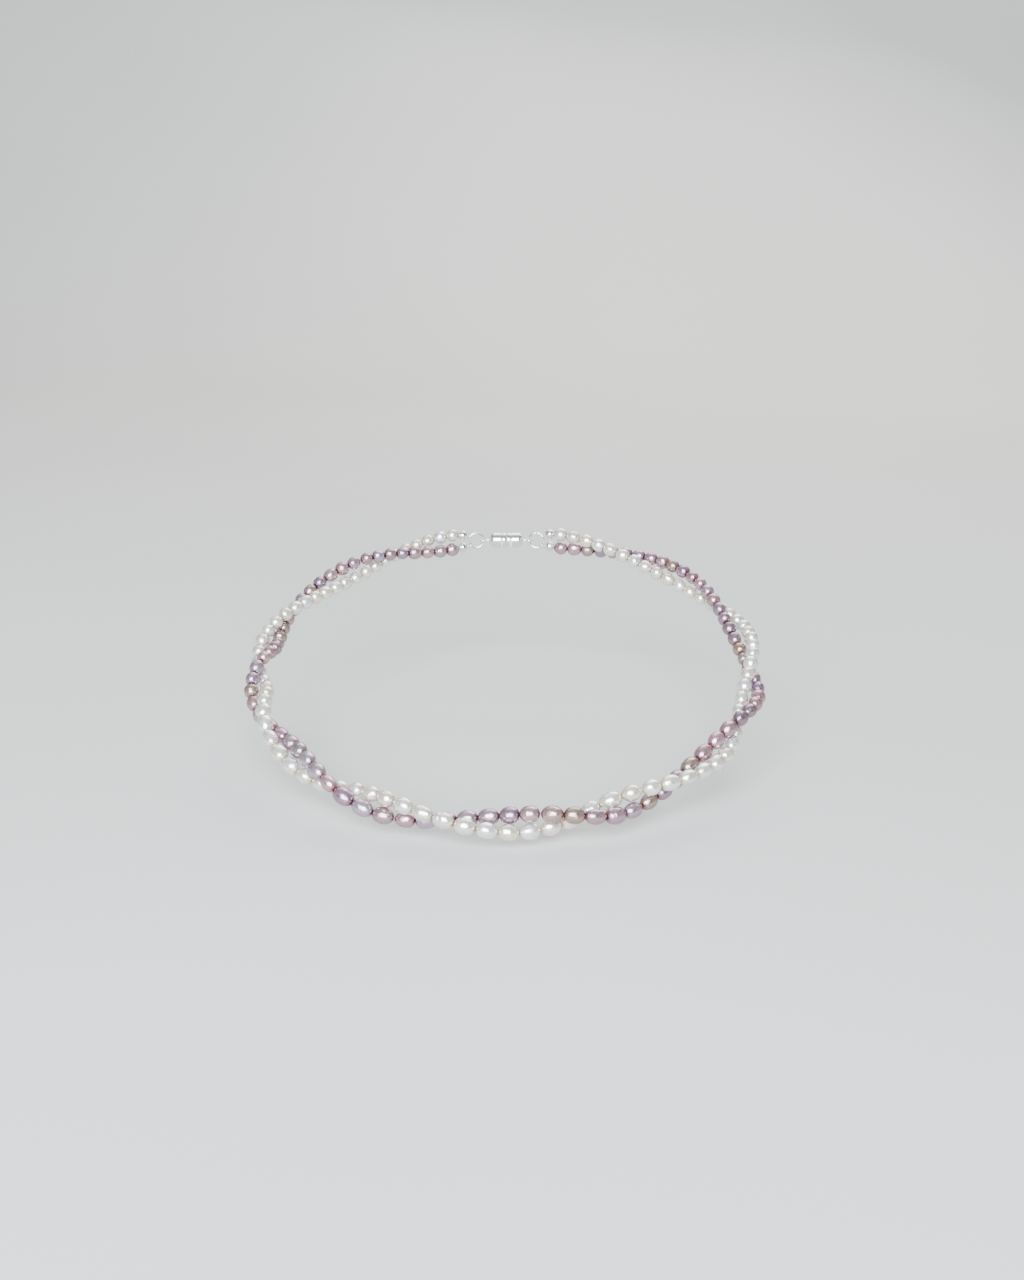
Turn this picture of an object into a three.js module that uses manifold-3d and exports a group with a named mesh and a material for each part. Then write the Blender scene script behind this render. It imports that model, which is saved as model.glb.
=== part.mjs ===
// Twisted two-strand pearl necklace, closed round a neck. Millimetres, +Z up, -Y to the wearer's front.
// The origin is the centre of the neck opening. Two strands of rice pearls, one cream white and one
// mauve, wind round each other like a loose rope. The rope is divided into rigid sections wherever the
// strands lie exactly one above the other, so that one upright hinge can bend both strands at once.
import * as THREE from 'three';
import { mergeVertices } from 'three/addons/utils/BufferGeometryUtils.js';
import Module from 'manifold-3d';

// Loop that the rope follows: an ellipse in plan, slightly narrower towards the front, low at the
// breastbone and high at the nape, with its sides dropped a little onto the shoulders.
const LOOP_HALF_WIDTH = 77.5;
const LOOP_HALF_DEPTH = 65;
const LOOP_NARROWING = 2;
const LOOP_RISE = 24.5;
const LOOP_ROLL = 1;
const LOOP_SIDE_DROP = 1.2;

// Where the strands lie one above the other, as distances along the loop from the front centre.
// The lay was twisted by hand, so the half turns between them are uneven.
const STACKED_AT = [-214.5, -178, -139, -116.5, -95, -62, -32, 10, 40.5, 83, 115.5, 159, 214.5];
const FIRST_HALF_TURN = -6.5;
const STRAND_OFFSET = 2.55;
const SECTION_GAP = 0.5;

// Pearls: long ovals in front, and shorter beyond the sides of the neck. The two reaches are distances
// from the front centre. The profile lists the places along a pearl, from 0 to 1, where its oval is drawn.
const FRONT_PEARL_LENGTH = 6.1;
const BACK_PEARL_LENGTH = 4.5;
const FRONT_REACH = 60;
const BACK_REACH = 125;
const PEARL_RADIUS = 2.25;
const PEARL_TIP_RADIUS = 0.8;
const PEARL_PROFILE = [0.18, 0.5, 0.82];
const HOLE_RADIUS = 0.55;

// Silk thread, with a knot at each end of a strand.
const THREAD_RADIUS = 0.22;
const THREAD_STEPS = 5;
const THREAD_END_OVERLAP = 0.02;
const KNOT_RADIUS = 0.75;

// Bead tip: a clamshell cup over the end knot, with an eye that holds the jump ring. Distances are
// measured from the clasp's eye towards the pearls, and heights from the middle of the clasp.
const TIP_RADIUS = 1.7;
const TIP_WALL = 0.3;
const TIP_MOUTH_ANGLE = 2.25;
const TIP_DISTANCE = 7.3;
const TIP_HEIGHT = 2.15;
const EYE_RADIUS = 0.95;
const EYE_WIRE = 0.25;
const BAR_RADIUS = 0.35;

// Jump ring, and the height at which the bead tips' eyes hold it.
const RING_RADIUS = 2.6;
const RING_WIRE = 0.4;
const RING_CUT = 0.15;
const RING_EYE_HEIGHT = 1.6;

// Magnetic barrel clasp: two cups, each with a disc magnet in its mouth and an eye at its back.
const CUP_RADIUS = 2.6;
const CUP_WALL = 0.4;
const CUP_LENGTH = 5.6;
const CUP_EDGE = 0.6;
const CUP_GAP = 0.3;
const CUP_EYE_DISTANCE = 8;
const MAGNET_RADIUS = 1.9;
const MAGNET_LENGTH = 2.6;
const MAGNET_CLEARANCE = 0.3;

// Facets round each kind of body.
const PEARL_SIDES = 6;
const THREAD_SIDES = 6;
const WIRE_SIDES = 6;
const EYE_SIDES = 10;
const TIP_SIDES = 8;
const RING_SIDES = 20;
const CUP_SIDES = 12;

const UP = new THREE.Vector3(0, 0, 1);
const wasm = await Module();
wasm.setup();

// ---- curves ----

class NeckLoop extends THREE.Curve {
  getPoint(u, target = new THREE.Vector3()) {
    const angle = (2 * u - 1) * Math.PI;
    return target.set(
      LOOP_HALF_WIDTH * Math.sin(angle) - LOOP_NARROWING * Math.sin(2 * angle),
      -LOOP_HALF_DEPTH * Math.cos(angle),
      LOOP_ROLL * Math.sin(angle) - LOOP_RISE * Math.cos(angle) + LOOP_SIDE_DROP * Math.cos(2 * angle),
    );
  }
}

const loop = new NeckLoop();
loop.arcLengthDivisions = 4000;
const loopLength = loop.getLength();
const placeOnLoop = (distance) => distance / loopLength + 0.5;

// Angle of the white strand round the rope's centre line. It grows by half a turn from each stacked
// place to the next, on a smooth cubic.
function twistAngle(distance) {
  const last = STACKED_AT.length - 2;
  const next = STACKED_AT.findIndex((place) => distance < place);
  const i = next < 0 ? last : Math.max(next - 1, 0);
  const width = (k) => STACKED_AT[k + 1] - STACKED_AT[k];
  const slope = (k) => 2 / (width(Math.max(k - 1, 0)) + width(Math.min(k, last)));
  const t = (distance - STACKED_AT[i]) / width(i);
  const rise = t * t * (3 - 2 * t);
  const startEase = t * (1 - t) * (1 - t) * width(i) * slope(i);
  const endEase = t * t * (1 - t) * width(i) * slope(i + 1);
  return (i + FIRST_HALF_TURN + rise + startEase - endEase) * Math.PI;
}

// One strand between two places on the loop. side is 1 for white and -1 for mauve.
class StrandRun extends THREE.Curve {
  constructor(side, from, to) {
    super();
    this.side = side;
    this.from = from;
    this.to = to;
  }

  getPoint(u, target = new THREE.Vector3()) {
    const distance = THREE.MathUtils.lerp(this.from, this.to, u);
    const outward = loop.getTangentAt(placeOnLoop(distance)).cross(UP).normalize();
    const angle = twistAngle(distance);
    return target.copy(loop.getPointAt(placeOnLoop(distance)))
      .addScaledVector(outward, this.side * STRAND_OFFSET * Math.cos(angle))
      .addScaledVector(UP, -this.side * STRAND_OFFSET * Math.sin(angle));
  }
}

// ---- solids ----

function toSolid(geometry) {
  geometry.deleteAttribute('normal');
  geometry.deleteAttribute('uv');
  const merged = mergeVertices(geometry);
  return new wasm.Manifold(new wasm.Mesh({
    numProp: 3,
    vertProperties: new Float32Array(merged.attributes.position.array),
    triVerts: new Uint32Array(merged.index.array),
  }));
}

function toGeometry(solid) {
  const mesh = solid.getMesh();
  const geometry = new THREE.BufferGeometry();
  geometry.setAttribute('position', new THREE.BufferAttribute(mesh.vertProperties, 3));
  geometry.setIndex(new THREE.BufferAttribute(mesh.triVerts, 1));
  geometry.computeVertexNormals();
  return geometry;
}

const join = (geometries) => toGeometry(geometries.map(toSolid).reduce((sum, next) => sum.add(next)));
const cut = (geometry, tool) => toGeometry(toSolid(geometry).subtract(toSolid(tool)));
const fractions = (steps) => Array.from({ length: steps + 1 }, (_, i) => i / steps);

function tube(curve, radius, sides, steps) {
  const corners = fractions(sides).slice(1).map((part) => (
    new THREE.Vector2(radius, 0).rotateAround(new THREE.Vector2(), 2 * Math.PI * part)
  ));
  return new THREE.ExtrudeGeometry(new THREE.Shape(corners), { steps, extrudePath: curve, bevelEnabled: false });
}

const bar = (from, to, radius) => tube(new THREE.LineCurve3(from, to), radius, WIRE_SIDES, 1);

// A profile of [radius, place] pairs turned about Y, and the same laid along X.
const turnedUpright = (pairs, sides) => (
  new THREE.LatheGeometry(pairs.map(([radius, place]) => new THREE.Vector2(radius, place)), sides)
);
const turned = (pairs, sides) => turnedUpright(pairs, sides).rotateZ(-Math.PI / 2);

// Profile of part of a ball, from one angle to another, measured from its back.
const ballProfile = (radius, from, to, steps) => fractions(steps).map((part) => {
  const angle = THREE.MathUtils.lerp(from, to, part);
  return [radius * Math.sin(angle), -radius * Math.cos(angle)];
});

function pearlLengthAt(distance) {
  const shortening = THREE.MathUtils.smoothstep(Math.abs(distance), FRONT_REACH, BACK_REACH);
  return THREE.MathUtils.lerp(FRONT_PEARL_LENGTH, BACK_PEARL_LENGTH, shortening);
}

// A straight bored run of touching pearls, turned about Y.
function straightPearls(length, pearlLength) {
  const count = Math.round(length / pearlLength);
  const step = length / count;
  const outside = [[PEARL_TIP_RADIUS, 0]];
  for (let i = 0; i < count; i += 1) {
    for (const place of PEARL_PROFILE) {
      outside.push([PEARL_RADIUS * Math.sqrt(1 - (2 * place - 1) ** 2), (i + place) * step]);
    }
    outside.push([PEARL_TIP_RADIUS, (i + 1) * step]);
  }
  const hole = fractions(THREAD_STEPS).map((part) => [HOLE_RADIUS, length * (1 - part)]);
  return turnedUpright([...outside, ...hole, outside[0]], PEARL_SIDES);
}

// Lays a body that was turned about Y along a curve of the same length.
function layAlong(geometry, curve) {
  const places = geometry.attributes.position;
  const length = curve.getLength();
  for (let i = 0; i < places.count; i += 1) {
    const u = THREE.MathUtils.clamp(places.getY(i) / length, 0, 1);
    const tangent = curve.getTangentAt(u);
    const level = new THREE.Vector3().crossVectors(UP, tangent).normalize();
    const upright = new THREE.Vector3().crossVectors(tangent, level);
    const point = curve.getPointAt(u)
      .addScaledVector(level, places.getX(i))
      .addScaledVector(upright, -places.getZ(i));
    places.setXYZ(i, point.x, point.y, point.z);
  }
  return geometry;
}

// ---- the two ends ----

// side is -1 for the end at low X and 1 for the end at high X. level is 1 for the upper strand there
// and -1 for the lower one.
const sides = { left: -1, right: 1 };
const endOfPearls = (side) => loop.getPointAt(placeOnLoop(side * STACKED_AT.at(-1)));
const claspHeight = (endOfPearls(-1).z + endOfPearls(1).z) / 2;

// Frame whose origin is the clasp's eye and whose X axis points to the end of the pearls.
function linkFrame(side) {
  const eye = new THREE.Vector3(side * CUP_EYE_DISTANCE, LOOP_HALF_DEPTH, claspHeight);
  const along = endOfPearls(side).sub(eye).setZ(0).normalize();
  const across = new THREE.Vector3().crossVectors(UP, along);
  return new THREE.Matrix4().makeBasis(along, across, UP).setPosition(eye);
}

const tipCentre = (side, level) => (
  new THREE.Vector3(TIP_DISTANCE, 0, level * TIP_HEIGHT + endOfPearls(side).z - claspHeight)
);

function beadTip(side, level) {
  const centre = tipCentre(side, level);
  const inside = ballProfile(TIP_RADIUS - TIP_WALL, TIP_MOUTH_ANGLE, 0, 3);
  const shell = turned([...ballProfile(TIP_RADIUS, 0, TIP_MOUTH_ANGLE, 5), ...inside], TIP_SIDES);
  const tilt = level * Math.asin(RING_EYE_HEIGHT / RING_RADIUS);
  const outward = new THREE.Vector3(Math.cos(tilt), 0, Math.sin(tilt));
  const eyeCentre = new THREE.Vector3(RING_RADIUS, 0, 0).addScaledVector(outward, RING_RADIUS);
  const eye = new THREE.TorusGeometry(EYE_RADIUS, EYE_WIRE, WIRE_SIDES, EYE_SIDES).rotateY(-tilt);
  const root = eyeCentre.clone().addScaledVector(outward, EYE_RADIUS);
  const back = centre.clone().sub(new THREE.Vector3(TIP_RADIUS - TIP_WALL / 2, 0, 0));
  return join([
    shell.translate(...centre.toArray()),
    eye.translate(...eyeCentre.toArray()),
    bar(root, back, BAR_RADIUS),
  ]);
}

function jumpRing() {
  const wire = new THREE.TorusGeometry(RING_RADIUS, RING_WIRE, WIRE_SIDES, RING_SIDES).rotateX(Math.PI / 2);
  const sawCut = new THREE.BoxGeometry(RING_CUT, 3 * RING_WIRE, 3 * RING_WIRE).translate(0, 0, RING_RADIUS);
  return cut(wire, sawCut).translate(RING_RADIUS, 0, 0);
}

// The cup and its magnet lie along X with their faces at the middle of the clasp.
const facing = (geometry, side) => geometry.rotateZ(side < 0 ? Math.PI : 0);

function claspCup(side) {
  const face = CUP_GAP / 2;
  const back = face + CUP_LENGTH;
  const bore = MAGNET_RADIUS + MAGNET_CLEARANCE;
  const floor = face + MAGNET_LENGTH + MAGNET_CLEARANCE;
  const body = turned([
    [0, floor], [bore, floor], [bore, face], [CUP_RADIUS - CUP_EDGE / 3, face],
    [CUP_RADIUS, face + CUP_EDGE], [CUP_RADIUS, back - 2 * CUP_EDGE],
    [CUP_RADIUS - CUP_EDGE, back - CUP_WALL], [CUP_RADIUS - 3 * CUP_EDGE, back], [0, back],
  ], CUP_SIDES);
  const eye = new THREE.TorusGeometry(EYE_RADIUS, EYE_WIRE, WIRE_SIDES, EYE_SIDES).translate(CUP_EYE_DISTANCE, 0, 0);
  const neckStart = new THREE.Vector3(back - CUP_WALL, 0, 0);
  const neckEnd = new THREE.Vector3(CUP_EYE_DISTANCE - EYE_RADIUS, 0, 0);
  return facing(join([body, eye, bar(neckStart, neckEnd, BAR_RADIUS)]), side);
}

function magnet(side) {
  const face = CUP_GAP / 2;
  const back = face + MAGNET_LENGTH;
  return facing(join([turned([[0, face], [MAGNET_RADIUS, face], [MAGNET_RADIUS, back], [0, back]], CUP_SIDES)]), side);
}

// The thread beyond the last pearl: a straight piece into the bead tip, and the knot in it.
function threadEnd(run, side, level) {
  const knot = tipCentre(side, level).applyMatrix4(linkFrame(side));
  const start = run.getPointAt(side < 0 ? THREAD_END_OVERLAP : 1 - THREAD_END_OVERLAP);
  const ball = turned(ballProfile(KNOT_RADIUS, 0, Math.PI, 4), THREAD_SIDES).translate(...knot.toArray());
  return [bar(start, knot, THREAD_RADIUS - THREAD_END_OVERLAP), ball];
}

// ---- assembly ----

const finishes = {
  white_pearl: { color: 0xece4d2, roughness: 0.22, metalness: 0 },
  mauve_pearl: { color: 0x9b7f86, roughness: 0.2, metalness: 0.1 },
  white_silk: { color: 0xf0ece2, roughness: 0.8, metalness: 0 },
  mauve_silk: { color: 0x8d6f70, roughness: 0.8, metalness: 0 },
  silver: { color: 0xd8d8d8, roughness: 0.25, metalness: 1 },
  magnet: { color: 0x9a9aa0, roughness: 0.35, metalness: 1 },
};
const strands = { white: 1, mauve: -1 };
const necklace = new THREE.Group();

function addPiece(parent, name, finish, geometry) {
  const piece = new THREE.Mesh(geometry, new THREE.MeshStandardMaterial(finishes[finish]));
  piece.name = name;
  parent.add(piece);
}

const levelAtEnd = (strand, side) => -Math.sign(Math.sin(twistAngle(side * STACKED_AT.at(-1)))) * strand;

function addSection(index) {
  const number = String(index + 1).padStart(2, '0');
  const from = STACKED_AT[index] + SECTION_GAP / 2;
  const to = STACKED_AT[index + 1] - SECTION_GAP / 2;
  const endSide = { 0: sides.left, [STACKED_AT.length - 2]: sides.right }[index];
  for (const [colour, strand] of Object.entries(strands)) {
    const run = new StrandRun(strand, from, to);
    const pearls = layAlong(straightPearls(run.getLength(), pearlLengthAt((from + to) / 2)), run);
    const thread = [tube(run, THREAD_RADIUS, THREAD_SIDES, THREAD_STEPS)];
    if (endSide) thread.push(...threadEnd(run, endSide, levelAtEnd(strand, endSide)));
    addPiece(necklace, `${colour}_pearls_${number}`, `${colour}_pearl`, join([pearls]));
    addPiece(necklace, `${colour}_thread_${number}`, `${colour}_silk`, join(thread));
  }
}

STACKED_AT.slice(1).forEach((_, index) => addSection(index));

const clasp = new THREE.Group();
clasp.position.set(0, LOOP_HALF_DEPTH, claspHeight);
necklace.add(clasp);

for (const [name, side] of Object.entries(sides)) {
  addPiece(clasp, `clasp_cup_${name}`, 'silver', claspCup(side));
  addPiece(clasp, `clasp_magnet_${name}`, 'magnet', magnet(side));

  const link = new THREE.Group();
  link.applyMatrix4(linkFrame(side));
  necklace.add(link);
  addPiece(link, `jump_ring_${name}`, 'silver', jumpRing());
  for (const [colour, strand] of Object.entries(strands)) {
    addPiece(link, `${colour}_bead_tip_${name}`, 'silver', beadTip(side, levelAtEnd(strand, side)));
  }
}

export default necklace;
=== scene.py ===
"""Looks for the twisted two-strand pearl necklace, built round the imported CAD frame.

Lengths are in metres in the CAD frame: +Z up, -Y to the wearer's front, origin at the centre of the
neck opening. The loop, the twist and the clasp repeat the CAD part's own dimensions.
"""
import math

import bpy
import numpy as np
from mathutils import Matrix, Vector


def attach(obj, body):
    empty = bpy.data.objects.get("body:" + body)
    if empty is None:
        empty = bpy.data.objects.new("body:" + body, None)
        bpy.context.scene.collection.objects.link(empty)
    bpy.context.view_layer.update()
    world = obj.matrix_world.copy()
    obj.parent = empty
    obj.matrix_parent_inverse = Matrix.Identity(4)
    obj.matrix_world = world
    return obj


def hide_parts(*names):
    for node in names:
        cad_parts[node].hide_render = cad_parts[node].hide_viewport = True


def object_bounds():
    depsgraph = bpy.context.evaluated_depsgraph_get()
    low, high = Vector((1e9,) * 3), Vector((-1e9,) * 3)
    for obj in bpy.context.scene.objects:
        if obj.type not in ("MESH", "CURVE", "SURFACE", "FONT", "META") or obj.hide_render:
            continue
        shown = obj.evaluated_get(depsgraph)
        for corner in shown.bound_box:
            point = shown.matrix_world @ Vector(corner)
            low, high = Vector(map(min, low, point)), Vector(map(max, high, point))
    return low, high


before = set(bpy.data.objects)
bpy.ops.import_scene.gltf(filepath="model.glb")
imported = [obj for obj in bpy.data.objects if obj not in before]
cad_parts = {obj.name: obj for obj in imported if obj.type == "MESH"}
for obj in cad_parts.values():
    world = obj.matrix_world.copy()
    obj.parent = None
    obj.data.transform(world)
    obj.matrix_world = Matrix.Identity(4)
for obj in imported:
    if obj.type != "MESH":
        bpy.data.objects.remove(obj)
cad_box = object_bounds()

MM = 0.001
UP = np.array([0.0, 0.0, 1.0])
RANDOM_SEED = 7
rng = np.random.default_rng(RANDOM_SEED)

# ---- the loop and the twist, as in the CAD part ----

LOOP_HALF_WIDTH = 77.5 * MM
LOOP_HALF_DEPTH = 65 * MM
LOOP_NARROWING = 2 * MM
LOOP_RISE = 24.5 * MM
LOOP_ROLL = 1 * MM
LOOP_SIDE_DROP = 1.2 * MM
LOOP_SAMPLES = 20001

# Where one strand lies right above the other, which is also where the sections meet.
STACKED_AT = MM * np.array([
    -214.5, -178, -139, -116.5, -95, -62, -32, 10, 40.5, 83, 115.5, 159, 214.5])
FIRST_HALF_TURN = -6.5
STRAND_OFFSET = 2.55 * MM
PEARL_GAP = 0.26 * MM

STRANDS = {"white": 1, "mauve": -1}
SIDES = {"left": -1, "right": 1}
SECTIONS = len(STACKED_AT) - 1


def loop_at(angle):
    """Points of the loop. The angle is 0 at the front centre and grows towards +X."""
    across = LOOP_HALF_WIDTH * np.sin(angle) - LOOP_NARROWING * np.sin(2 * angle)
    back = -LOOP_HALF_DEPTH * np.cos(angle)
    slope = LOOP_ROLL * np.sin(angle) - LOOP_RISE * np.cos(angle)
    return np.stack([across, back, slope + LOOP_SIDE_DROP * np.cos(2 * angle)], axis=-1)


def lengths_along(points):
    steps = np.linalg.norm(np.diff(points, axis=0), axis=1)
    return np.concatenate([[0.0], np.cumsum(steps)])


LOOP_ANGLES = np.linspace(-math.pi, math.pi, LOOP_SAMPLES)
LOOP_DISTANCES = lengths_along(loop_at(LOOP_ANGLES))
LOOP_DISTANCES -= LOOP_DISTANCES[-1] / 2


def centre_at(distance):
    return loop_at(np.interp(distance, LOOP_DISTANCES, LOOP_ANGLES))


def unit(vectors):
    return vectors / np.linalg.norm(vectors, axis=-1, keepdims=True)


def twist_at(distance):
    """Angle of the white strand round the centre line, half a turn per section."""
    last = SECTIONS - 1
    i = np.clip(np.searchsorted(STACKED_AT, distance, side="right") - 1, 0, last)
    widths = np.diff(STACKED_AT)
    start_slope = 2 / (widths[np.maximum(i - 1, 0)] + widths[i])
    end_slope = 2 / (widths[i] + widths[np.minimum(i + 1, last)])
    t = (distance - STACKED_AT[i]) / widths[i]
    rise = t * t * (3 - 2 * t)
    ease = t * (1 - t) * widths[i] * ((1 - t) * start_slope - t * end_slope)
    return (i + FIRST_HALF_TURN + rise + ease) * math.pi


def strand_at(side, distance):
    """Points of a strand's own centre line. side is 1 for the white strand and -1 for the mauve one."""
    step = 0.05 * MM
    ahead = centre_at(distance + step) - centre_at(distance - step)
    outward = unit(np.cross(ahead, UP))
    angle = twist_at(distance)[..., None]
    return centre_at(distance) + side * STRAND_OFFSET * (np.cos(angle) * outward - np.sin(angle) * UP)


# ---- mesh helpers ----

def skin(rows, wrap=False):
    """Vertices and faces of a surface through rings of points, closed on itself or capped."""
    rows = np.asarray(rows, float)
    count, around = rows.shape[:2]
    verts = rows.reshape(-1, 3)
    here = np.arange(around)
    nearby = (here + 1) % around
    faces = []
    for i in range(count if wrap else count - 1):
        a, b = i * around, ((i + 1) % count) * around
        faces += np.stack([a + here, a + nearby, b + nearby, b + here], axis=1).tolist()
    if not wrap:
        for row, order in ((0, here[::-1]), (count - 1, here)):
            middle = len(verts)
            verts = np.vstack([verts, rows[row].mean(axis=0)])
            ring = row * around + order
            faces += [[middle, int(a), int(b)] for a, b in zip(ring, np.roll(ring, -1))]
    return verts, faces


def merged(parts):
    """One list of vertices and one of faces from several."""
    verts, faces, start = [], [], 0
    for part_verts, part_faces in parts:
        verts.append(part_verts)
        faces += [[start + k for k in face] for face in part_faces]
        start += len(part_verts)
    return np.vstack(verts), faces


def make_object(name, verts, faces, material, attributes=None):
    mesh = bpy.data.meshes.new(name)
    mesh.from_pydata(np.asarray(verts).tolist(), [], faces)
    mesh.polygons.foreach_set("use_smooth", [True] * len(faces))
    for label, values in (attributes or {}).items():
        kind, field = ("FLOAT_COLOR", "color") if values.ndim == 2 else ("FLOAT", "value")
        layer = mesh.attributes.new(label, kind, "POINT")
        layer.data.foreach_set(field, values.astype(np.float32).ravel())
    mesh.materials.append(material)
    mesh.validate()
    obj = bpy.data.objects.new(name, mesh)
    bpy.context.scene.collection.objects.link(obj)
    return obj


def stand_for(obj, node, body):
    """The piece moves with its body and hides its CAD node."""
    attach(obj, body)
    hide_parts(node)


def rings_along(points, radii, around, start_up=UP):
    """Circles of the given radii round the points of a path."""
    ahead = unit(np.gradient(points, axis=0))
    level = unit(np.cross(start_up, ahead))
    upright = np.cross(ahead, level)
    angles = np.linspace(0, 2 * math.pi, around, endpoint=False)
    radii = np.broadcast_to(radii, (len(points), around))[..., None]
    across, up = np.cos(angles)[None, :, None], np.sin(angles)[None, :, None]
    return points[:, None] + radii * (across * level[:, None] + up * upright[:, None])


def turned(profile, around=64):
    """A body turned about X from (place, radius) pairs, from axis to axis or as a closed outline."""
    profile = np.asarray(profile, float)
    closed = profile[0][1] > 0
    angles = np.linspace(0, 2 * math.pi, around, endpoint=False)
    circle = np.stack([np.zeros(around), np.cos(angles), np.sin(angles)], axis=1)
    rows = profile[:, 1, None, None] * circle[None] + profile[:, 0, None, None] * np.array([1.0, 0, 0])
    return skin(rows if closed else rows[1:-1], wrap=closed)


def torus(radius, wire, axis, around=48, section=16, flatten=1.0):
    """A closed ring of wire about an axis through the origin."""
    angles = np.linspace(0, 2 * math.pi, around, endpoint=False)
    first = unit(np.cross(axis, [0.3, 0.9, 0.2]))
    second = np.cross(axis, first)
    outward = np.cos(angles)[:, None] * first + np.sin(angles)[:, None] * second
    turn = np.linspace(0, 2 * math.pi, section, endpoint=False)
    across, along = np.cos(turn)[None, :, None], flatten * np.sin(turn)[None, :, None]
    offset = across * outward[:, None] + along * axis
    return skin(radius * outward[:, None] + wire * offset, wrap=True)


def rounded(corners, radius, steps=4):
    """A profile with its middle corners rounded by short arcs."""
    corners = [np.asarray(c, float) for c in corners]
    out = [corners[0]]
    for before, corner, after in zip(corners, corners[1:], corners[2:]):
        reach = min(radius, np.linalg.norm(before - corner) / 2, np.linalg.norm(after - corner) / 2)
        start = corner + reach * unit(before - corner)
        end = corner + reach * unit(after - corner)
        for t in np.linspace(0, 1, steps + 1):
            out.append((1 - t) ** 2 * start + 2 * t * (1 - t) * corner + t * t * end)
    return out + [corners[-1]]


# ---- materials ----

class Nodes:
    """Short names for building one material's node tree."""

    def __init__(self, name):
        self.material = bpy.data.materials.new(name)
        self.material.use_nodes = True
        self.tree = self.material.node_tree
        self.shader = self.tree.nodes["Principled BSDF"]

    def add(self, kind, inputs=None, **settings):
        node = self.tree.nodes.new(kind)
        for key, value in settings.items():
            setattr(node, key, value)
        for key, value in (inputs or {}).items():
            self.put(node, key, value)
        return node

    def put(self, node, key, value):
        socket = node.inputs[key]
        if isinstance(value, bpy.types.NodeSocket):
            self.tree.links.new(value, socket)
        else:
            socket.default_value = value

    def set(self, **values):
        for key, value in values.items():
            self.put(self.shader, key.replace("_", " "), value)

    def attribute(self, name, output="Fac"):
        return self.add("ShaderNodeAttribute", attribute_name=name).outputs[output]

    def noise(self, scale, detail=3.0, roughness=0.5, vector=None):
        place = vector or self.add("ShaderNodeTexCoord").outputs["Object"]
        return self.add("ShaderNodeTexNoise", {
            "Vector": place, "Scale": scale, "Detail": detail, "Roughness": roughness,
        }).outputs["Fac"]

    def remap(self, value, low, high, new_low, new_high):
        return self.add("ShaderNodeMapRange", {
            "Value": value, "From Min": low, "From Max": high, "To Min": new_low, "To Max": new_high,
        }).outputs["Result"]

    def math(self, operation, first, second=0.0):
        node = self.add("ShaderNodeMath", operation=operation)
        self.put(node, 0, first)
        self.put(node, 1, second)
        return node.outputs[0]

    def mix(self, factor, first, second, blend="MIX"):
        node = self.add("ShaderNodeMix", data_type="RGBA", blend_type=blend)
        self.put(node, 0, factor)
        self.put(node, 6, first)
        self.put(node, 7, second)
        return node.outputs[2]

    def bump(self, height, strength, distance, normal=None):
        inputs = {"Height": height, "Strength": strength, "Distance": distance}
        if normal:
            inputs["Normal"] = normal
        return self.add("ShaderNodeBump", inputs).outputs["Normal"]


def rgb(red, green, blue):
    return (red, green, blue, 1.0)


# Noise scales of the nacre, from broad clouds to fine grain.
CLOUD_SCALE = 260
LUMP_SCALE = 560
PATCH_SCALE = 700
GLOSS_SCALE = 900
GRAIN_SCALE = 2600
LUMP_HEIGHT = 0.24 * MM
GROWTH_RING_HEIGHT = 0.10 * MM
GRAIN_HEIGHT = 0.02 * MM
# Where the painted shade at the pearl ends begins, as a share of the way from the middle to the tip.
END_SHADE_FROM = 0.72
COAT_ROUGHNESS = 0.16
COAT_IOR = 2.4
GLOW_COLOURS = (1.0, 0.75, 0.55)
GLOW_DEPTH = 0.5 * MM


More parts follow.
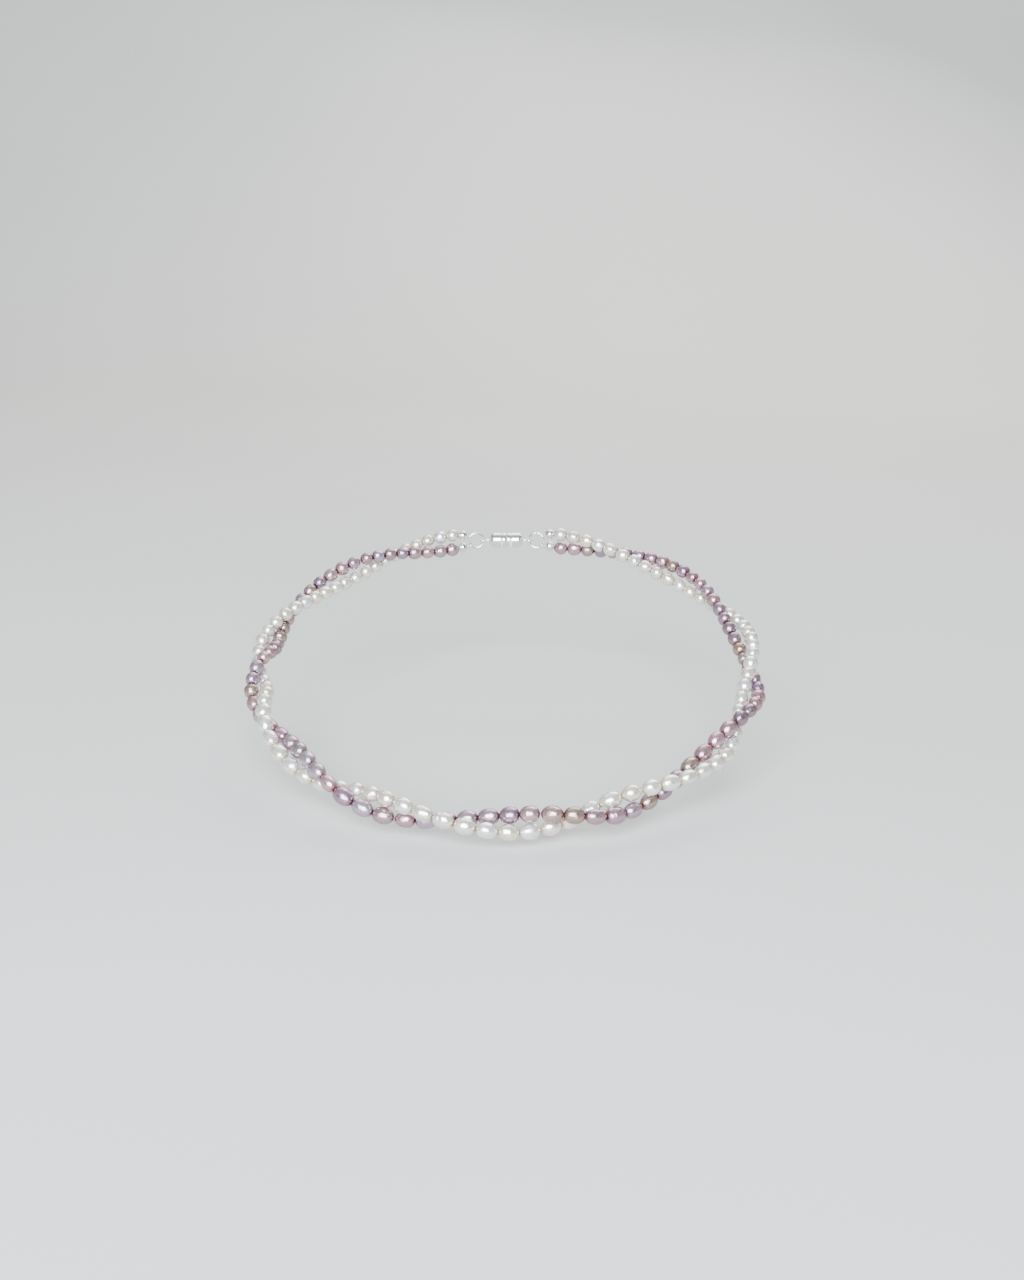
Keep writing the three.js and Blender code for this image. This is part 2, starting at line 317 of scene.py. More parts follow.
def nacre(name, overtone, glow, end_painted_shade, lustre):
    """Pearl surface with its own tint, cloudy overtones and growth rings, darker towards both drill
    ends: partly the nacre's own darker ends, partly painted shade where neighbouring pearls meet.
    """
    n = Nodes(name)
    tint = n.attribute("tint", "Color")
    along = n.attribute("along")
    seed = n.attribute("seed")
    cloud = n.remap(n.noise(CLOUD_SCALE, 3), 0.35, 0.65, 0.0, 0.5)
    patch = n.remap(n.noise(PATCH_SCALE, 2), 0.4, 0.7, 0.0, 0.35)
    tinted = n.mix(cloud, tint, n.mix(0.5, tint, overtone))
    tinted = n.mix(patch, tinted, n.mix(0.6, tinted, glow))
    # Painted shade: the colour is multiplied darker towards both drill ends, where neighbouring pearls
    # meet and shade each other; partly also the darker nacre there.
    ends = n.remap(n.math("ABSOLUTE", along), END_SHADE_FROM, 1.0, 0.0, 0.9)
    colour = n.mix(ends, tinted, n.mix(1.0, tinted, end_painted_shade, "MULTIPLY"))
    ring_place = n.add("ShaderNodeCombineXYZ", {
        "X": n.math("MULTIPLY", along, 3.2), "Y": seed, "Z": 0.0})
    rings = n.noise(1.7, 3, 0.5, ring_place.outputs[0])
    seed_place = n.add("ShaderNodeCombineXYZ", {"X": seed})
    ringed = n.remap(n.noise(1.0, 0, 0.5, seed_place.outputs[0]), 0.3, 0.7, 0.1, 1.0)
    lumps = n.bump(n.noise(LUMP_SCALE, 2, 0.45), 1.0, LUMP_HEIGHT)
    surface = n.bump(n.math("MULTIPLY", rings, ringed), 0.5, GROWTH_RING_HEIGHT, lumps)
    surface = n.bump(n.noise(GRAIN_SCALE, 3, 0.55), 0.06, GRAIN_HEIGHT, surface)
    roughness = n.remap(n.noise(GLOSS_SCALE, 2), 0.3, 0.7, *lustre["roughness"])
    n.set(Base_Color=colour, Roughness=roughness, Normal=surface)
    n.set(Metallic=lustre["metallic"], IOR=lustre["ior"], Specular_Tint=rgb(*lustre["edge"]))
    n.set(Coat_Weight=lustre["coat"], Coat_Roughness=COAT_ROUGHNESS, Coat_IOR=COAT_IOR)
    n.set(Subsurface_Weight=lustre["glow"], Subsurface_Radius=GLOW_COLOURS)
    n.set(Subsurface_Scale=GLOW_DEPTH)
    return n.material


def silk(name, colour, groove_painted_shade):
    """Twisted silk: fine plies, painted shade in the grooves between them, and a soft sheen."""
    n = Nodes(name)
    ply = n.attribute("ply")
    fibre = n.noise(9000, 4, 0.6)
    # Painted shade: the colour darkens where the plies sink between each other, with random fibre noise
    # on top.
    n.set(Base_Color=n.mix(n.remap(n.math("ADD", ply, fibre), 0.3, 1.5, 0.0, 1.0), groove_painted_shade, colour))
    n.set(Roughness=n.remap(fibre, 0.3, 0.7, 0.55, 0.8), Sheen_Weight=0.5, Sheen_Roughness=0.4)
    n.set(Normal=n.bump(fibre, 0.5, 0.03 * MM))
    return n.material


def polished(name, colour, tarnish, roughness):
    """Polished metal with fine wipe marks and a little tarnish in patches."""
    n = Nodes(name)
    marks = n.noise(5200, 5, 0.7)
    cloud = n.remap(n.noise(420, 4), 0.45, 0.75, 0.0, 0.6)
    n.set(Base_Color=n.mix(cloud, colour, tarnish), Metallic=1.0)
    n.set(Roughness=n.remap(n.math("ADD", marks, cloud), 0.4, 1.3, *roughness))
    n.set(Normal=n.bump(marks, 0.12, 0.01 * MM))
    return n.material


def plain_stage(name, colour):
    n = Nodes(name)
    n.set(Base_Color=n.mix(n.remap(n.noise(3, 2), 0.3, 0.7, 0.0, 0.06), colour, rgb(1, 1, 1)))
    n.set(Roughness=0.9, Specular_IOR_Level=0.1)
    return n.material


# The third colour of each nacre is the painted shade multiplied in at the pearl ends.
MATERIALS = {
    "white_pearl": nacre(
        "white_nacre", rgb(0.66, 0.68, 0.60), rgb(0.88, 0.78, 0.75), rgb(0.78, 0.66, 0.46), {
            "roughness": (0.21, 0.31), "metallic": 0.74, "ior": 1.7, "coat": 0.4, "glow": 0.2,
            "edge": (0.80, 0.76, 0.71)}),
    "mauve_pearl": nacre(
        "mauve_nacre", rgb(0.30, 0.26, 0.42), rgb(0.55, 0.34, 0.38), rgb(0.42, 0.18, 0.16), {
            "roughness": (0.22, 0.32), "metallic": 0.85, "ior": 1.7, "coat": 0.4, "glow": 0.0,
            "edge": (0.50, 0.32, 0.34)}),
    # The second colour of each silk is the painted shade in the grooves between the plies.
    "white_silk": silk("white_silk", rgb(0.85, 0.82, 0.74), rgb(0.55, 0.50, 0.42)),
    "mauve_silk": silk("mauve_silk", rgb(0.33, 0.20, 0.20), rgb(0.12, 0.06, 0.06)),
    "silver": polished("polished_silver", rgb(0.83, 0.82, 0.80), rgb(0.62, 0.58, 0.52), (0.10, 0.26)),
    "magnet": polished("nickel_plate", rgb(0.52, 0.51, 0.49), rgb(0.36, 0.35, 0.34), (0.22, 0.40)),
}

# ---- pearls ----

FRONT_PEARL_LENGTH = 6.1 * MM
BACK_PEARL_LENGTH = 4.5 * MM
FRONT_REACH = 60 * MM
BACK_REACH = 125 * MM
PEARL_RADIUS = 2.25 * MM
HOLE_RADIUS = 0.33 * MM
PEARL_AROUND = 36
PEARL_ROWS = 30
PEARL_FILL = 0.995
LENGTH_SPREAD = 0.07
RADIUS_SPREAD = 0.035
RADIUS_LIMIT = 1.04
# Thickness of the shortest and the longest pearls, as shares of the CAD pearl's.
RADIUS_SHARES = (0.98, 1.06)

# How square the outline is. The pearls beside a hinge are more pointed, so that the strand can bend.
BLUNTNESS = (0.06, 0.26)
HINGE_BLUNTNESS = (-0.02, 0.06)

HOLE_FLARE = 1.3
BORE_PLACES = (0.965, 0.9, 0.3, -0.3, -0.9, -0.965)
EGG_SPREAD = 0.05
OVAL_LIMIT = 0.045
LUMP_SPREAD = 0.014
LUMP_TURNS = (1, 2, 3)
DENT_COUNTS = (0, 4)
DENT_PLACES = (0.6, 2.5)
DENT_WIDTHS = (0.06, 0.16)
DENT_DEPTHS = (0.006, 0.03)

TINT_BRIGHTNESS = (0.93, 1.06)
TINT_SPREAD = 0.012
TINT_LIMIT = 0.95
SEED_LIMIT = 90

TINTS = {
    "white": {
        "c": (0.79, 0.70, 0.56), "i": (0.81, 0.75, 0.65), "g": (0.74, 0.73, 0.63),
        "p": (0.81, 0.70, 0.65), "b": (0.78, 0.77, 0.74),
    },
    "mauve": {
        "r": (0.40, 0.22, 0.24), "l": (0.37, 0.25, 0.32), "v": (0.29, 0.17, 0.25),
        "t": (0.32, 0.21, 0.18), "p": (0.47, 0.29, 0.31), "g": (0.29, 0.26, 0.23),
        "d": (0.22, 0.13, 0.15), "b": (0.32, 0.21, 0.14), "s": (0.41, 0.33, 0.39),
    },
}
# The tint of each pearl, section by section from the left end. The white ones are cream, ivory,
# greenish, pinkish and bluish. The mauve ones are rose, lavender, violet, taupe, pink, grey, dark,
# bronze and silvery.
TINT_ORDER = {
    "white": [
        "ibicpiibi", "ipbicbgi", "ibipic", "bicb", "ibpibi", "cibip",
        "bipibcb", "pibic", "bigbpib", "cibibpi", "bicibpibgi", "ibcipbiibcpi",
    ],
    "mauve": [
        "rlprvtsr", "lrpvtrlpt", "ttdrp", "lltrs", "rrlgs", "spvsr",
        "rslslvp", "rbrrl", "bdvtrpr", "ddrrvd", "dtbddvvrlp", "rvtprlsrvtpr",
    ],
}


def pearl_length_at(distance):
    """Long ovals in front, and shorter pearls beyond the sides of the neck."""
    t = min(max((abs(distance) - FRONT_REACH) / (BACK_REACH - FRONT_REACH), 0.0), 1.0)
    return FRONT_PEARL_LENGTH + (BACK_PEARL_LENGTH - FRONT_PEARL_LENGTH) * t * t * (3 - 2 * t)


def pearl_surface(length, radius, bluntness):
    """One rice pearl along X, uneven and drilled through, and where each vertex lies along it."""
    fullness = 1 - bluntness
    egg = rng.normal(0, EGG_SPREAD)
    oval, oval_turn = rng.uniform(0.0, OVAL_LIMIT), rng.uniform(0, math.pi)
    first = math.asin((HOLE_RADIUS * HOLE_FLARE / radius) ** (1 / fullness))
    polar = np.linspace(first, math.pi - first, PEARL_ROWS)
    around = np.linspace(0, 2 * math.pi, PEARL_AROUND, endpoint=False)
    along = -np.cos(polar) / math.cos(first)
    shape = np.sin(polar) ** fullness * (1 + egg * along)
    for _ in range(rng.integers(*DENT_COUNTS)):
        place, width, depth = [rng.uniform(*r) for r in (DENT_PLACES, DENT_WIDTHS, DENT_DEPTHS)]
        shape -= depth * np.exp(-(((polar - place) / width) ** 2))
    swell = 1 + oval * np.cos(2 * (around - oval_turn))[None]
    for turns in LUMP_TURNS:
        lump, phase = rng.normal(0, LUMP_SPREAD), rng.uniform(0, 2 * math.pi)
        around_wave = np.cos(turns * around + phase)[None]
        along_wave = np.sin(turns * polar + phase)[:, None]
        swell = swell + lump * around_wave * along_wave
    radii = radius * shape[:, None] * swell
    places = along[:, None] * length / 2
    bore_along = np.array(BORE_PLACES)
    bore_radii = np.full((len(bore_along), 1), HOLE_RADIUS)
    bore_places = bore_along[:, None] * length / 2
    rows = [
        np.stack(np.broadcast_arrays(x, r * np.cos(around), r * np.sin(around)), axis=-1)
        for x, r in ((places, radii), (bore_places, bore_radii))
    ]
    verts, faces = skin(np.concatenate(rows), wrap=True)
    return verts, faces, np.repeat(np.concatenate([along, bore_along]), PEARL_AROUND)


def section_run(side, section, samples=900):
    """Points of one strand through one section, and how far along the strand each one lies."""
    start = STACKED_AT[section] + PEARL_GAP / 2
    end = STACKED_AT[section + 1] - PEARL_GAP / 2
    points = strand_at(side, np.linspace(start, end, samples))
    return points, lengths_along(points)


def point_on(points, lengths, distance):
    return np.array([np.interp(distance, lengths, points[:, k]) for k in range(3)])


def pearl_run(colour, side, section):
    """All the pearls of one strand in one section, as one mesh with a closed body for each pearl."""
    points, lengths = section_run(side, section)
    usual_length = pearl_length_at((STACKED_AT[section] + STACKED_AT[section + 1]) / 2)
    length_range = (BACK_PEARL_LENGTH, FRONT_PEARL_LENGTH)
    usual_radius = PEARL_RADIUS * np.interp(usual_length, length_range, RADIUS_SHARES)
    count = round(lengths[-1] / usual_length)
    shares = 1 + rng.uniform(-LENGTH_SPREAD, LENGTH_SPREAD, count)
    ends = np.concatenate([[0.0], np.cumsum(shares / shares.sum())]) * lengths[-1]
    tints = [TINTS[colour][letter] for letter in TINT_ORDER[colour][section]]
    parts, attributes = [], {"along": [], "seed": [], "tint": []}
    for number, (start, end) in enumerate(zip(ends, ends[1:])):
        tip, far_tip = point_on(points, lengths, start), point_on(points, lengths, end)
        length = np.linalg.norm(far_tip - tip) * PEARL_FILL
        radius = usual_radius * (1 + rng.normal(0, RADIUS_SPREAD))
        at_hinge = number in (0, count - 1)
        bluntness = rng.uniform(*(HINGE_BLUNTNESS if at_hinge else BLUNTNESS))
        verts, faces, along = pearl_surface(length, min(radius, usual_radius * RADIUS_LIMIT), bluntness)
        ahead = unit(far_tip - tip)
        level = unit(np.cross(UP, ahead))
        basis = np.stack([ahead, level, np.cross(ahead, level)])
        parts.append((verts @ basis + (tip + far_tip) / 2, faces))
        tint = np.array(tints[number % len(tints)]) * rng.uniform(*TINT_BRIGHTNESS)
        tint = np.clip(tint + rng.normal(0, TINT_SPREAD, 3), 0, TINT_LIMIT)
        attributes["along"].append(along)
        attributes["seed"].append(np.full(len(verts), rng.uniform(0, SEED_LIMIT)))
        attributes["tint"].append(np.tile([*tint, 1.0], (len(verts), 1)))
    verts, faces = merged(parts)
    stacked = {label: np.concatenate(values) for label, values in attributes.items()}
    name = f"{colour}_pearl_run_{section + 1:02d}"
    return make_object(name, verts, faces, MATERIALS[f"{colour}_pearl"], stacked)


# ---- thread ----

THREAD_RADIUS = 0.22 * MM
THREAD_STEP = 0.35 * MM
THREAD_LAY = 1.6 * MM
THREAD_AROUND = 12
PLIES = 3
PLY_DEPTH = 0.2
# The two rings that round off an end: angles off the axis, and how far the dome stands out.
DOME_ANGLES = (0.9, 0.5)
DOME_REACH = 0.9

KNOT_SIZE = 0.14256 * MM
KNOT_DEPTH = 1.6
KNOT_SAMPLES = 80
KNOT_THREAD_RADIUS = THREAD_RADIUS * 1.1


def domed(path, rows, values, radius):
    """The rings of a cord, and a value for each vertex, with smaller rings added beyond both ends."""
    ahead = unit(np.gradient(path, axis=0))
    before, after = [], []
    for angle in DOME_ANGLES:
        reach, width = DOME_REACH * radius * math.cos(angle), math.sin(angle)
        before.insert(0, path[0] - reach * ahead[0] + width * (rows[0] - path[0]))
        after.append(path[-1] + reach * ahead[-1] + width * (rows[-1] - path[-1]))
    rings = len(DOME_ANGLES)
    values = np.concatenate([[values[0]] * rings, values, [values[-1]] * rings])
    return np.concatenate([before, rows, after]), values


def cord(points, radius=THREAD_RADIUS):
    """A round three-ply cord along a path, and how far each vertex stands out between the plies."""
    lengths = lengths_along(points)
    even = np.linspace(0, lengths[-1], max(int(lengths[-1] / THREAD_STEP), 4))
    path = np.stack([np.interp(even, lengths, points[:, k]) for k in range(3)], axis=1)
    around = np.linspace(0, 2 * math.pi, THREAD_AROUND, endpoint=False)
    lay = 2 * math.pi * even[:, None] / THREAD_LAY
    ply = 0.5 + 0.5 * np.cos(PLIES * (around[None] - lay))
    rows = rings_along(path, radius * (1 - PLY_DEPTH + PLY_DEPTH * ply), THREAD_AROUND)
    rows, ply = domed(path, rows, ply, radius)
    verts, faces = skin(rows)
    caps = [0.5, 0.5]
    return verts, faces, np.concatenate([ply.ravel(), caps])


def knot(place):
    """A tight overhand knot: a trefoil of cord drawn up small."""
    t = np.linspace(0, 2 * math.pi, KNOT_SAMPLES)
    trefoil = np.stack([
        np.sin(t) + 2 * np.sin(2 * t),
        np.cos(t) - 2 * np.cos(2 * t),
        -KNOT_DEPTH * np.sin(3 * t),
    ], axis=1)
    return cord(trefoil * KNOT_SIZE + place, KNOT_THREAD_RADIUS)


# ---- the two ends ----

TIP_RADIUS = 1.7 * MM
TIP_WALL = 0.3 * MM
TIP_MOUTH_ANGLE = 2.25
TIP_DISTANCE = 7.3 * MM
TIP_HEIGHT = 2.15 * MM
TIP_SEAM_WIDTH = 0.09 * MM
TIP_SEAM_DEPTH = 0.05
TIP_BAR_RADIUS = 0.35 * MM
TIP_RIM_WIRE = 0.2 * MM
TIP_RIM_INSET = 0.94
EYE_RADIUS = 0.95 * MM
EYE_WIRE = 0.25 * MM
EYE_FLATTEN = 1.25
RING_RADIUS = 2.6 * MM
RING_WIRE = 0.4 * MM
RING_CUT = 0.15 * MM
RING_CUT_BEVEL = 0.86
RING_EYE_HEIGHT = 1.6 * MM
CUP_RADIUS = 2.6 * MM
CUP_LENGTH = 5.6 * MM
CUP_GAP = 0.3 * MM
CUP_EYE_DISTANCE = 8 * MM
CUP_NECK_RADIUS = 0.38 * MM
CUP_ROUNDING = 0.4 * MM
GROOVES_AT = (1.1 * MM, 1.6 * MM)
GROOVE_DEPTH = 0.16 * MM
GROOVE_WIDTH = 0.15 * MM
MAGNET_RADIUS = 1.9 * MM
MAGNET_LENGTH = 2.6 * MM
MAGNET_CLEARANCE = 0.3 * MM
MAGNET_ROUNDING = 0.25 * MM


def end_of_pearls(side):
    return centre_at(side * STACKED_AT[-1])


CLASP_HEIGHT = (end_of_pearls(-1)[2] + end_of_pearls(1)[2]) / 2


def link_frame(side):
    """Origin at the clasp's eye and X towards the end of the pearls, as (origin, three axes)."""
    eye = np.array([side * CUP_EYE_DISTANCE, LOOP_HALF_DEPTH, CLASP_HEIGHT])
    along = (end_of_pearls(side) - eye) * [1, 1, 0]
    along = unit(along)
    return eye, np.stack([along, np.cross(UP, along), UP])


def level_at_end(strand, side):
    return -math.copysign(1, math.sin(twist_at(side * STACKED_AT[-1]))) * strand


def tip_centre(side, level):
    return np.array([TIP_DISTANCE, 0, level * TIP_HEIGHT + end_of_pearls(side)[2] - CLASP_HEIGHT])


def placed(part, origin, basis):
    verts, faces = part
    return verts @ basis + origin, faces


def moved(part, offset):
    return part[0] + offset, part[1]


def wire_bar(start, end, radius):
    points = np.linspace(start, end, 6)
    return skin(rings_along(points, radius, 20, [0, 1, 0.1]))


def bead_tip(colour, name, side, level):
    """A clamshell cup with a seam, its mouth towards the pearls and its eye on the jump ring."""
    centre = tip_centre(side, level)
    outer_angles = np.linspace(0.0, TIP_MOUTH_ANGLE, 26)
    inner_angles = np.linspace(TIP_MOUTH_ANGLE, 0.0, 20)
    inner = TIP_RADIUS - TIP_WALL
    profile = [(-TIP_RADIUS * math.cos(a), TIP_RADIUS * math.sin(a)) for a in outer_angles]
    profile += [(-inner * math.cos(a), inner * math.sin(a)) for a in inner_angles]
    verts, faces = turned(profile)
    outside = np.linalg.norm(verts, axis=1) > inner * 1.05
    seam = np.exp(-((verts[:, 1] / TIP_SEAM_WIDTH) ** 2)) * outside
    verts = verts * (1 - TIP_SEAM_DEPTH * seam[:, None])
    tilt = level * math.asin(RING_EYE_HEIGHT / RING_RADIUS)
    outward = np.array([math.cos(tilt), 0, math.sin(tilt)])
    eye_centre = np.array([RING_RADIUS, 0, 0]) + RING_RADIUS * outward
    eye_axis = np.array([-math.sin(tilt), 0, math.cos(tilt)])
    eye = torus(EYE_RADIUS, EYE_WIRE, eye_axis, flatten=EYE_FLATTEN)
    root = eye_centre + EYE_RADIUS * outward
    back = centre - [TIP_RADIUS - TIP_WALL / 2, 0, 0]
    mouth = TIP_RADIUS * TIP_RIM_INSET
    rim = moved(
        torus(mouth * math.sin(TIP_MOUTH_ANGLE), TIP_RIM_WIRE, np.array([1.0, 0, 0])),
        centre - [mouth * math.cos(TIP_MOUTH_ANGLE), 0, 0])
    bar = wire_bar(root, back, TIP_BAR_RADIUS)
    parts = [moved((verts, faces), centre), moved(eye, eye_centre), bar, rim]
    verts, faces = placed(merged(parts), *link_frame(side))
    return make_object(f"{colour}_clamshell_{name}", verts, faces, MATERIALS["silver"])


def jump_ring(name, side):
    """A round wire ring with its saw cut at the top."""
    half_cut = RING_CUT / RING_RADIUS / 2
    angles = np.linspace(half_cut, 2 * math.pi - half_cut, 120) + math.pi / 2
    path = np.stack([np.cos(angles), 0 * angles, np.sin(angles)], axis=1) * RING_RADIUS
    radii = np.full((len(angles), 1), RING_WIRE)
    radii[[0, -1]] = RING_WIRE * RING_CUT_BEVEL
    rows = rings_along(path, radii, 24, [0, 1, 0])
    verts, faces = placed(moved(skin(rows), [RING_RADIUS, 0, 0]), *link_frame(side))
    return make_object(f"split_ring_{name}", verts, faces, MATERIALS["silver"])


def clasp_frame(side):
    """Origin at the middle of the clasp, X away from the other half."""
    return np.array([0, LOOP_HALF_DEPTH, CLASP_HEIGHT]), np.diag([side, side, 1.0])


def clasp_cup(name, side):
    """A turned barrel half: rolled rim, two fine grooves, domed back and a soldered eye."""
    face, back = CUP_GAP / 2, CUP_GAP / 2 + CUP_LENGTH
    bore = MAGNET_RADIUS + MAGNET_CLEARANCE
    floor = face + MAGNET_LENGTH + MAGNET_CLEARANCE
    corners = [(floor, 0.0), (floor, bore), (face, bore), (face, CUP_RADIUS - 0.15 * MM)]
    corners += [(face + 0.35 * MM, CUP_RADIUS), (face + 0.95 * MM, CUP_RADIUS)]
    wall = CUP_RADIUS - 0.02 * MM
    for groove in GROOVES_AT:
        near, deep = face + groove, CUP_RADIUS - GROOVE_DEPTH
        corners += [(near, deep), (near + GROOVE_WIDTH, deep), (near + GROOVE_WIDTH + 0.1 * MM, wall)]
    corners += [(back - 1.2 * MM, wall), (back - 0.35 * MM, CUP_RADIUS - 0.7 * MM)]
    corners += [(back, CUP_RADIUS - 1.8 * MM), (back, 0.0)]
    body = turned(rounded(corners, CUP_ROUNDING, 5))
    eye = moved(torus(EYE_RADIUS, EYE_WIRE, UP, flatten=EYE_FLATTEN), [CUP_EYE_DISTANCE, 0, 0])
    neck = wire_bar([back - 0.4 * MM, 0, 0], [CUP_EYE_DISTANCE - EYE_RADIUS, 0, 0], CUP_NECK_RADIUS)
    solder = moved(turned([
        (-0.25 * MM, 0), (-0.2 * MM, 0.75 * MM), (0.1 * MM, 0.6 * MM), (0.3 * MM, 0.4 * MM),
        (0.35 * MM, 0),
    ]), [back, 0, 0])
    verts, faces = placed(merged([body, eye, neck, solder]), *clasp_frame(side))
    return make_object(f"clasp_barrel_{name}", verts, faces, MATERIALS["silver"])


def clasp_magnet(name, side):
    face, back = CUP_GAP / 2, CUP_GAP / 2 + MAGNET_LENGTH
    corners = [(face, 0.0), (face, MAGNET_RADIUS), (back, MAGNET_RADIUS), (back, 0.0)]
    verts, faces = placed(turned(rounded(corners, MAGNET_ROUNDING, 5)), *clasp_frame(side))
    return make_object(f"disc_magnet_{name}", verts, faces, MATERIALS["magnet"])


def thread_run(colour, strand, section):
    """One strand's thread through one section, out to the hinges, with a knot where it ends."""
    points, _ = section_run(strand, section)
    hinge_ends = strand_at(strand, STACKED_AT[[section, section + 1]])
    side = {0: -1, SECTIONS - 1: 1}.get(section)
    parts = []
    if side:
        origin, basis = link_frame(side)
        place = tip_centre(side, level_at_end(strand, side)) @ basis + origin
        hinge_ends[0 if side < 0 else 1] = place
        parts.append(knot(place))
    path = np.vstack([hinge_ends[:1], points, hinge_ends[1:]])
    parts.append(cord(path))
    verts, faces = merged([part[:2] for part in parts])
    ply = np.concatenate([part[2] for part in parts])
    material = MATERIALS[f"{colour}_silk"]
    return make_object(f"{colour}_silk_{section + 1:02d}", verts, faces, material, {"ply": ply})


def build_necklace():
    for section in range(SECTIONS):
        body = f"section_{section + 1:02d}"
        for colour, strand in STRANDS.items():
            pearls = pearl_run(colour, strand, section)
            stand_for(pearls, f"{colour}_pearls_{section + 1:02d}", body)
            thread = thread_run(colour, strand, section)
            stand_for(thread, f"{colour}_thread_{section + 1:02d}", body)
    for name, side in SIDES.items():
        end_body = "section_01" if side < 0 else f"section_{SECTIONS:02d}"
        for colour, strand in STRANDS.items():
            tip = bead_tip(colour, name, side, level_at_end(strand, side))
            stand_for(tip, f"{colour}_bead_tip_{name}", end_body)
        stand_for(jump_ring(name, side), f"jump_ring_{name}", f"ring_{name}")
        stand_for(clasp_cup(name, side), f"clasp_cup_{name}", f"clasp_{name}")
        stand_for(clasp_magnet(name, side), f"clasp_magnet_{name}", f"clasp_{name}")


# ---- camera, light and stage ----

CAMERA_TARGET = Vector((2.0 * MM, 0.0, 9.4 * MM))
CAMERA_DISTANCE = 469 * MM
CAMERA_PITCH = math.radians(18)
CAMERA_LENS = 42.19
FLOOR_HEIGHT = cad_box[0][2] - 3 * MM


def add_camera():
    data = bpy.data.cameras.new("camera")
    data.lens = CAMERA_LENS
    data.sensor_width = 36
    data.clip_start = 0.01
    camera = bpy.data.objects.new("camera", data)
    back = Vector((0, -math.cos(CAMERA_PITCH), math.sin(CAMERA_PITCH)))
    camera.location = CAMERA_TARGET + CAMERA_DISTANCE * back
    camera.rotation_euler = (math.pi / 2 - CAMERA_PITCH, 0, 0)
    bpy.context.scene.collection.objects.link(camera)
    bpy.context.scene.camera = camera


def add_area(name, place, target, size, watts, colour):
    data = bpy.data.lights.new(name, "AREA")
    data.shape = "RECTANGLE"
    data.size, data.size_y = size
    data.energy = watts
    data.color = colour
    light = bpy.data.objects.new(name, data)
    light.location = place
    light.visible_camera = False
    light.rotation_euler = (Vector(target) - Vector(place)).to_track_quat("-Z", "Y").to_euler()
    bpy.context.scene.collection.objects.link(light)


def facing(azimuth, elevation, distance):
    """A place round the object. Azimuth 0 is in front and grows towards +X. Angles are in degrees."""
    turn, rise = math.radians(azimuth), math.radians(elevation)
    level = math.cos(rise)
    return Vector((math.sin(turn) * level, -math.cos(turn) * level, math.sin(rise))) * distance


WINDOW_TURNS = (-21.1, 5.1)
WINDOW_SIZE = (0.50, 0.85)
WINDOW_DISTANCE = 1.2
WINDOW_RISE = 29
WINDOW_WATTS = 34.0
WINDOW_COLOUR = (0.78, 0.90, 1.0)
BACK_WINDOW_TURN = 170
BACK_WINDOW_RISE = 36
BACK_WINDOW_WATTS = 6.0
BACK_WINDOW_COLOUR = (1.0, 0.97, 0.93)


def add_lights():
    """Two tall window panes behind the camera, a weaker pair at the back and soft light overhead."""
    middle = (0, 0, 0)
    for number, turn in enumerate(WINDOW_TURNS):
        front = facing(turn, WINDOW_RISE, WINDOW_DISTANCE)
        add_area(f"window_{number}", front, middle, WINDOW_SIZE, WINDOW_WATTS, WINDOW_COLOUR)
        back = facing(turn + BACK_WINDOW_TURN, BACK_WINDOW_RISE, WINDOW_DISTANCE)
        add_area(
            f"back_window_{number}", back, middle, WINDOW_SIZE, BACK_WINDOW_WATTS, BACK_WINDOW_COLOUR)
    add_area("soft_top", (0.0, 0.35, 1.1), middle, (1.0, 1.0), 2.5, (1.0, 0.98, 0.95))
    add_area("wall_wash", (0.0, 0.75, 1.2), (0, 1.15, 0.1), (1.8, 0.3), 7.0, (1.0, 0.99, 0.98))


# Grey levels of the room from straight down (0) to straight up (1), and how much of the dim front
# shows at each height and in each direction.
ROOM_TONES = [(0.0, (0.62, 0.62, 0.62)), (0.2, (0.85, 0.85, 0.85)), (0.8, (0.5, 0.5, 0.51))]
DIM_TONES = [(0.14, (0, 0, 0)), (0.20, (1, 1, 1)), (0.80, (1, 1, 1)), (0.95, (0, 0, 0))]
DIM_FROM, DIM_TO = -0.35, -0.55
DIM_COLOUR = (0.07, 0.068, 0.065)


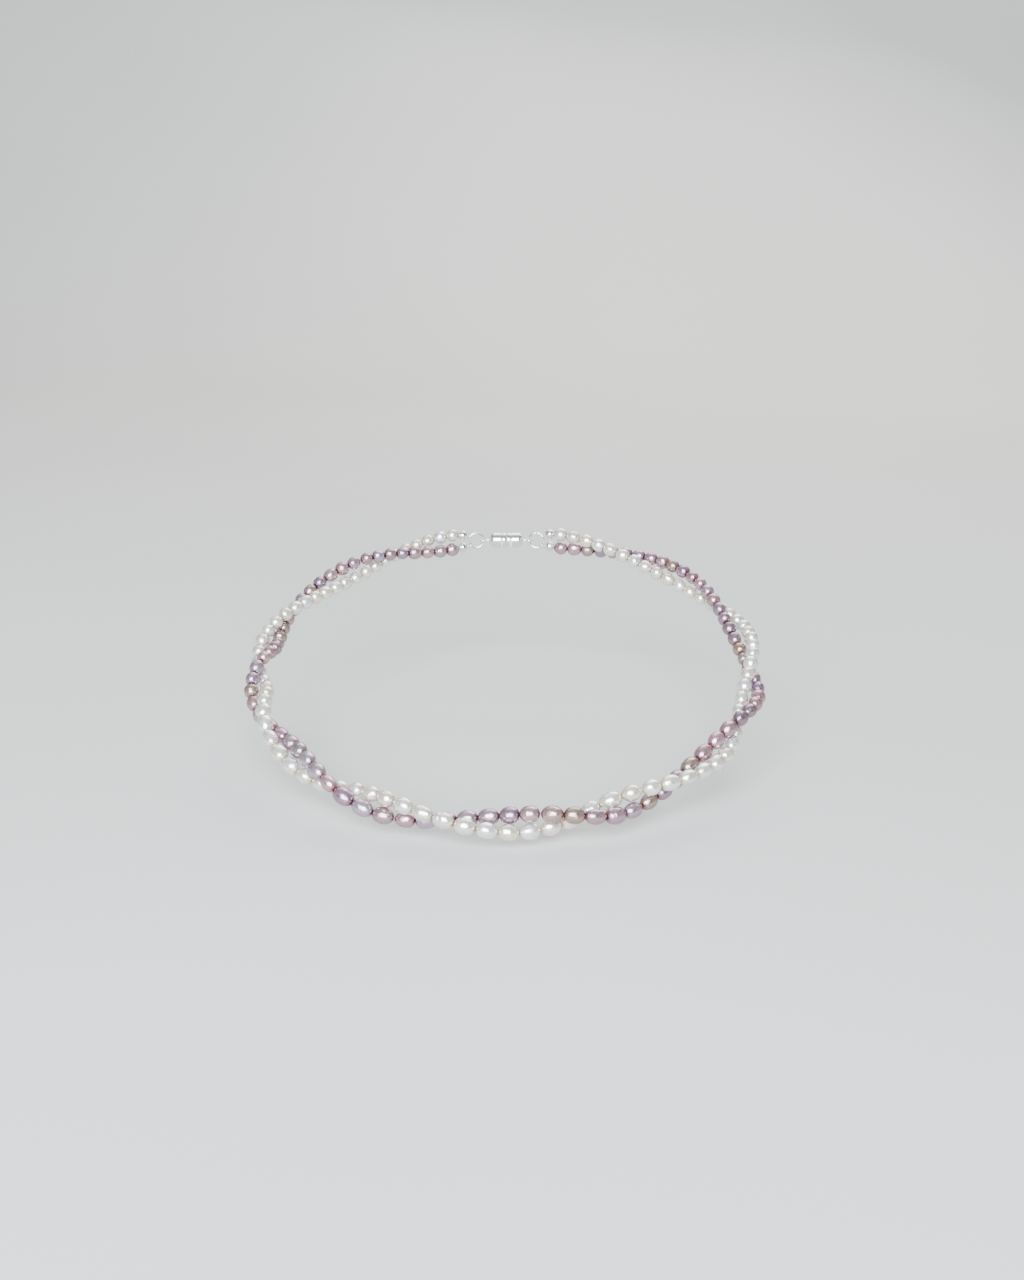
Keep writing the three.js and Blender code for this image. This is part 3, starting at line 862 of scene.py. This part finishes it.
def add_world():
    """A pale room, dim in front of the object, where the windows are."""
    world = bpy.data.worlds.new("soft_room")
    world.use_nodes = True
    tree = world.node_tree
    place = tree.nodes.new("ShaderNodeTexCoord")
    split = tree.nodes.new("ShaderNodeSeparateXYZ")
    tree.links.new(place.outputs["Generated"], split.inputs[0])

    def ramp(output, tones):
        node = tree.nodes.new("ShaderNodeValToRGB")
        while len(node.color_ramp.elements) < len(tones):
            node.color_ramp.elements.new(0.5)
        for element, (position, tone) in zip(node.color_ramp.elements, tones):
            element.position = position
            element.color = rgb(*tone)
        tree.links.new(output, node.inputs[0])
        return node.outputs["Color"]

    room = ramp(split.outputs["Z"], ROOM_TONES)
    dim = ramp(split.outputs["Z"], DIM_TONES)
    front = tree.nodes.new("ShaderNodeMapRange")
    tree.links.new(split.outputs["Y"], front.inputs["Value"])
    front.inputs["From Min"].default_value = DIM_FROM
    front.inputs["From Max"].default_value = DIM_TO
    amount = tree.nodes.new("ShaderNodeMath")
    amount.operation = "MULTIPLY"
    tree.links.new(dim, amount.inputs[0])
    tree.links.new(front.outputs["Result"], amount.inputs[1])
    mix = tree.nodes.new("ShaderNodeMix")
    mix.data_type = "RGBA"
    tree.links.new(amount.outputs[0], mix.inputs[0])
    tree.links.new(room, mix.inputs[6])
    mix.inputs[7].default_value = rgb(*DIM_COLOUR)
    background = tree.nodes["Background"]
    tree.links.new(mix.outputs[2], background.inputs["Color"])
    background.inputs["Strength"].default_value = 1.0
    bpy.context.scene.world = world


STAGE_FRONT = -1.3
STAGE_BACK = 1.3
STAGE_HALF_WIDTH = 3.5
STAGE_BEND = 0.5
STAGE_HEIGHT = 2.5


def add_stage():
    """A plain pale floor that sweeps up into a wall behind."""
    bend_from = STAGE_BACK - STAGE_BEND
    profile = [(STAGE_FRONT, 0.0), (bend_from, 0.0)]
    for angle in np.linspace(0, math.pi / 2, 16)[1:]:
        behind, above = STAGE_BEND * math.sin(angle), STAGE_BEND - STAGE_BEND * math.cos(angle)
        profile.append((bend_from + behind, above))
    profile.append((STAGE_BACK, STAGE_HEIGHT))
    edges = (-STAGE_HALF_WIDTH, STAGE_HALF_WIDTH)
    verts = [(x, y, FLOOR_HEIGHT + z) for y, z in profile for x in edges]
    faces = [(2 * i, 2 * i + 1, 2 * i + 3, 2 * i + 2) for i in range(len(profile) - 1)]
    floor = plain_stage("pale_floor", rgb(0.51, 0.50, 0.475))
    make_object("pale_sweep", verts, faces, floor)


add_camera()
build_necklace()
add_lights()
add_world()
add_stage()
